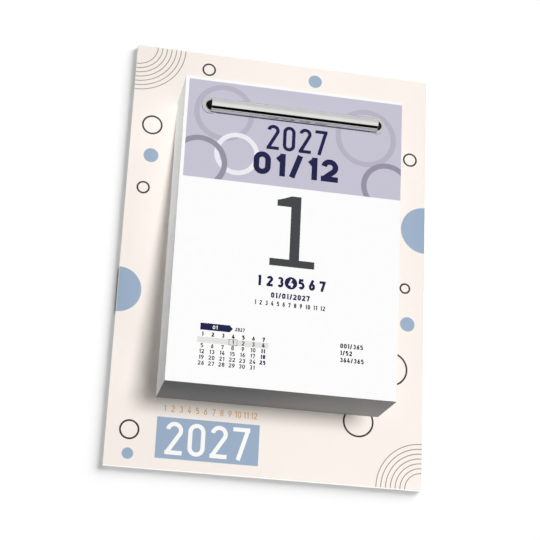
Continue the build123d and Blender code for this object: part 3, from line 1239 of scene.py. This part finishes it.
class CALENDAR_OT_stage(bpy.types.Operator):
    """Pale floor, soft light, white surroundings and the camera."""

    bl_idname = "calendar.stage"
    bl_label = "Stage"

    def execute(self, context):
        settings = context.scene.calendar_stage
        context.scene.view_settings.view_transform = "Standard"
        floor = self.floor(settings)
        for name, facts in GLOSS_CARDS.items():
            self.gloss_card(name, *facts)
        self.lamps(settings, floor, self.shade())
        self.world(context.scene, settings)
        self.camera(context.scene, settings)
        return {"FINISHED"}

    @staticmethod
    def by_ray(tree, unseen, seen, output):
        """Gives an output one shader for the rays that show a surface, which are camera, glossy and
        transmission rays, and another for the rest."""
        path = tree.nodes.new("ShaderNodeLightPath")
        share = path.outputs["Is Camera Ray"]
        for kind in ("Is Glossy Ray", "Is Transmission Ray"):
            larger = tree.nodes.new("ShaderNodeMath")
            larger.operation = "MAXIMUM"
            tree.links.new(share, larger.inputs[0])
            tree.links.new(path.outputs[kind], larger.inputs[1])
            share = larger.outputs["Value"]
        mix = tree.nodes.new("ShaderNodeMixShader")
        for source, socket in zip((share, unseen, seen), mix.inputs):
            tree.links.new(source, socket)
        tree.links.new(mix.outputs["Shader"], tree.nodes[output].inputs["Surface"])

    @classmethod
    def floor(cls, settings):
        """Flat floor, paler to the eye than to the light that it throws back."""
        half, level = FLOOR_HALF, -FLOOR_GAP
        corners = ((-half, -half, level), (half, -half, level), (half, half, level), (-half, half, level))
        material = bpy.data.materials.new("floor")
        material.use_nodes = True
        tree = material.node_tree
        tree.nodes.remove(tree.nodes["Principled BSDF"])
        shaders = []
        for shade in (settings.floor_bounce, settings.floor):
            matte = tree.nodes.new("ShaderNodeBsdfDiffuse")
            matte.inputs["Color"].default_value = (*shade, 1)
            shaders.append(matte.outputs["BSDF"])
        cls.by_ray(tree, *shaders, "Material Output")
        return plane("floor", corners, material)

    @staticmethod
    def gloss_card(name, y, low, high, first, last):
        """Upright card along X that only glossy rays meet. Its glow runs evenly from a first strength at
        its foot to a last one at its head."""
        x = GLOSS_HALF
        corners = ((-x, y, low), (x, y, low), (x, y, high), (-x, y, high))
        nodes = Nodes(name)
        height = nodes.axes(nodes.at("Object"))["Z"]
        material = nodes.set(
            Base_Color=(0, 0, 0, 1),
            Specular_IOR_Level=0.0,
            Emission_Color=(1, 1, 1, 1),
            Emission_Strength=nodes.ramp(height, low * MM, high * MM, first, last),
        )
        hide(plane(name, corners, material), "camera", "diffuse", "transmission", "shadow")

    @staticmethod
    def shade():
        """Hidden sheet inside the block, from the card at its head up to the face at its foot. It shades
        the card in the block's place, so that the shadow grows from head to foot."""
        left, right = PAGE_LEFT + SHADE_INSET, PAGE_RIGHT - SHADE_INSET
        foot, head = PAGE_FOOT + SHADE_INSET, PAGE_HEAD - SHADE_INSET
        high, low = PAGE_TOP - SHADE_INSET, CARD_TOP + SHADE_INSET
        corners = ((left, foot, high), (right, foot, high), (right, head, low), (left, head, low))
        sheet = plane("shade", corners, Nodes("shade").material)
        hide(sheet, "camera", "diffuse", "glossy", "transmission")
        return sheet

    @staticmethod
    def sun(name, way, angle, share, lit, shades):
        """A soft sun that lights some pieces and is shaded by some. A face square to it shows a share of
        the face's own colour."""
        lamp = bpy.data.lights.new(name, "SUN")
        lamp.angle = angle
        lamp.energy = share * math.pi
        sun = stage_object(name, lamp, way, aimed(way, (0, 0, 0)))
        sun.light_linking.receiver_collection = group_of(name + "_lights", lit)
        sun.light_linking.blocker_collection = group_of(name + "_shades", shades)
        return sun

    @staticmethod
    def square(name, place, target, size, power, lit):
        """A square lamp that lights some pieces alone."""
        lamp = bpy.data.lights.new(name, "AREA")
        lamp.size = size * MM
        lamp.energy = power
        square = stage_object(name, lamp, place, aimed(place, target))
        hide(square, "camera", "glossy")
        square.light_linking.receiver_collection = group_of(name + "_lights", lit)

    @classmethod
    def lamps(cls, settings, floor, shade):
        """A key over the upper right corner for all but the card, with a twin for the card alone, a sun for
        the floor and a low one for the card's edges, which the board alone shades, and square lamps for the
        block's left, lower and hidden sides and for the card's upper and lower parts."""
        board = [frame["nodes"][node] for node in ("backing_board", "front_print")]
        card = [*board, bpy.data.objects["card_face_print"]]
        block = [bpy.data.objects[month + "_stack"] for month in MONTHS]
        block += [frame["nodes"][month + "_stub"] for month in MONTHS]
        meshes = [thing for thing in bpy.data.objects if thing.type == "MESH"]
        off_card = [thing for thing in meshes if thing not in card]
        round_board = [thing for thing in meshes if thing not in (shade, *board)]
        key_lean, floor_lean = (Vector(way).normalized().z for way in (KEY_WAY, FLOOR_WAY))
        key = cls.sun("key", KEY_WAY, KEY_ANGLE, settings.key / key_lean, off_card, round_board)
        twin = cls.sun("card_key", KEY_WAY, KEY_ANGLE, settings.card_key / key_lean, card, [shade])
        for lamp in (key, twin):
            hide(lamp, "glossy")
        floor_share = settings.floor_light / floor_lean
        cls.sun("floor_light", FLOOR_WAY, FLOOR_ANGLE, floor_share, [floor], board)
        cls.sun("rim", RIM_WAY, RIM_ANGLE, settings.rim, board, board)
        lit = {"side": block, "foot": block, "back": [*block, board[0]], "upper": card, "lower": card}
        for name, facts in SQUARE_LAMPS.items():
            cls.square(name, *facts, getattr(settings, name), lit[name])

    @classmethod
    def world(cls, scene, settings):
        """Even light for the object, and plain white wherever a ray shows the surroundings."""
        scene.world = bpy.data.worlds.new("surroundings")
        scene.world.use_nodes = True
        tree = scene.world.node_tree
        even = tree.nodes["Background"]
        even.inputs["Color"].default_value = (1, 1, 1, 1)
        even.inputs["Strength"].default_value = settings.ambient
        white = tree.nodes.new("ShaderNodeBackground")
        white.inputs["Color"].default_value = (1, 1, 1, 1)
        cls.by_ray(tree, even.outputs["Background"], white.outputs["Background"], "World Output")

    @staticmethod
    def camera(scene, settings):
        """Camera on a sphere round its target, at an azimuth and an elevation, turned by its roll."""
        flat = math.cos(settings.elevation)
        back = Vector((
            math.sin(settings.azimuth) * flat,
            -math.cos(settings.azimuth) * flat,
            math.sin(settings.elevation),
        ))
        place = Vector(CAMERA_TARGET) + back * settings.distance / MM
        turn = aimed(place, CAMERA_TARGET) @ Quaternion((0, 0, 1), settings.roll)
        lens = bpy.data.cameras.new("camera")
        lens.lens = settings.lens
        lens.sensor_width = SENSOR
        lens.clip_start = CLIP_NEAR * MM
        scene.camera = stage_object("camera", lens, place, turn)


OPERATORS = (
    CALENDAR_OT_card,
    CALENDAR_OT_card_print,
    CALENDAR_OT_month_stacks,
    CALENDAR_OT_day_leaf,
    CALENDAR_OT_binding_bar,
    CALENDAR_OT_washers,
    CALENDAR_OT_prong_strip,
    CALENDAR_OT_stage,
)


class CALENDAR_PT_build(bpy.types.Panel):
    """Buttons for the calendar's pieces, and their settings."""

    bl_idname = "CALENDAR_PT_build"
    bl_label = "Day Calendar"
    bl_space_type = "VIEW_3D"
    bl_region_type = "UI"
    bl_category = "Calendar"

    def draw(self, context):
        for operator in OPERATORS:
            self.layout.operator(operator.bl_idname)
        for group in SETTINGS:
            settings = getattr(context.scene, group)
            box = self.layout.box()
            for name in settings.__annotations__:
                box.prop(settings, name)


SETTINGS = {
    "calendar_card": CardSettings,
    "calendar_leaf": LeafSettings,
    "calendar_metal": MetalSettings,
    "calendar_stage": StageSettings,
}
CLASSES = (*SETTINGS.values(), *OPERATORS, CALENDAR_PT_build)


def register():
    """Adds the classes, and the settings to the scene."""
    for item in CLASSES:
        bpy.utils.register_class(item)
    for name, group in SETTINGS.items():
        setattr(bpy.types.Scene, name, PointerProperty(type=group))


def unregister():
    """Takes the settings and classes away again."""
    for name in SETTINGS:
        delattr(bpy.types.Scene, name)
    for item in reversed(CLASSES):
        bpy.utils.unregister_class(item)


def main():
    """Builds every piece and the stage."""
    register()
    bpy.ops.calendar.card()
    bpy.ops.calendar.card_print()
    bpy.ops.calendar.month_stacks()
    bpy.ops.calendar.day_leaf()
    bpy.ops.calendar.binding_bar()
    bpy.ops.calendar.washers()
    bpy.ops.calendar.prong_strip()
    bpy.ops.calendar.stage()


if __name__ == "__main__":
    main()
